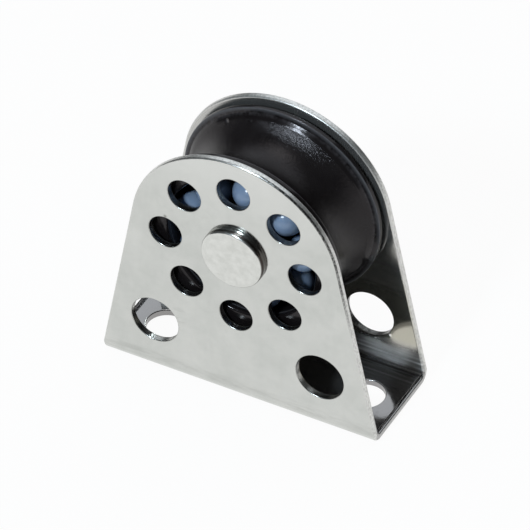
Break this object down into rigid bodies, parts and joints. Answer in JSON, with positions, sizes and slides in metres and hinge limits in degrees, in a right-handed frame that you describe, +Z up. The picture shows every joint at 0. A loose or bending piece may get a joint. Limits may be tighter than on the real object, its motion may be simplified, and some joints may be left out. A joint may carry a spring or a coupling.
{
  "type": "stand-up block",
  "caption": "Upright deck block: a folded stainless channel, bolted down through its base, with a grooved ball-bearing rope sheave riveted between its two round-topped cheeks.",
  "frame": {"origin": "middle of the base's underside, in the plane midway between the two cheeks", "axes": "+Z up, towards the sheave and the cheeks' round tops; +X along the base, in the plane of the sheave; +Y along the axle, away from the cheek that the picture shows in front"},
  "size_m": [0.0524, 0.022, 0.0516],
  "materials": {
    "polished_stainless": "polished",
    "rivet_stainless": "polished",
    "race_acetal": "satin black",
    "sheave_acetal": "satin black",
    "ball_acetal": "glossy blue-white"
  },
  "bodies": {
    "frame": {"body": "polished_stainless", "axle_rivet": "rivet_stainless", "race_near": "race_acetal", "race_far": "race_acetal"},
    "sheave": {"sheave": "sheave_acetal"},
    "balls_near": {"ball_near_1": "ball_acetal", "ball_near_2": "ball_acetal", "ball_near_3": "ball_acetal", "ball_near_4": "ball_acetal", "ball_near_5": "ball_acetal", "ball_near_6": "ball_acetal", "ball_near_7": "ball_acetal", "ball_near_8": "ball_acetal", "ball_near_9": "ball_acetal"},
    "balls_far": {"ball_far_1": "ball_acetal", "ball_far_2": "ball_acetal", "ball_far_3": "ball_acetal", "ball_far_4": "ball_acetal", "ball_far_5": "ball_acetal", "ball_far_6": "ball_acetal", "ball_far_7": "ball_acetal", "ball_far_8": "ball_acetal", "ball_far_9": "ball_acetal"}
  },
  "joints": [
    {"name": "sheave_spin", "type": "hinge", "parent": "frame", "child": "sheave", "pos_m": [0, 0, 0.0318], "axis": [0, 1, 0], "continuous": true},
    {"name": "near_balls_orbit", "type": "hinge", "parent": "frame", "child": "balls_near", "pos_m": [0, 0, 0.0318], "axis": [0, 1, 0], "continuous": true},
    {"name": "far_balls_orbit", "type": "hinge", "parent": "frame", "child": "balls_far", "pos_m": [0, 0, 0.0318], "axis": [0, 1, 0], "continuous": true}
  ],
  "couplings": [
    {"joint": "near_balls_orbit", "follows": "sheave_spin", "ratio": 0.6498},
    {"joint": "far_balls_orbit", "follows": "sheave_spin", "ratio": 0.6498}
  ]
}
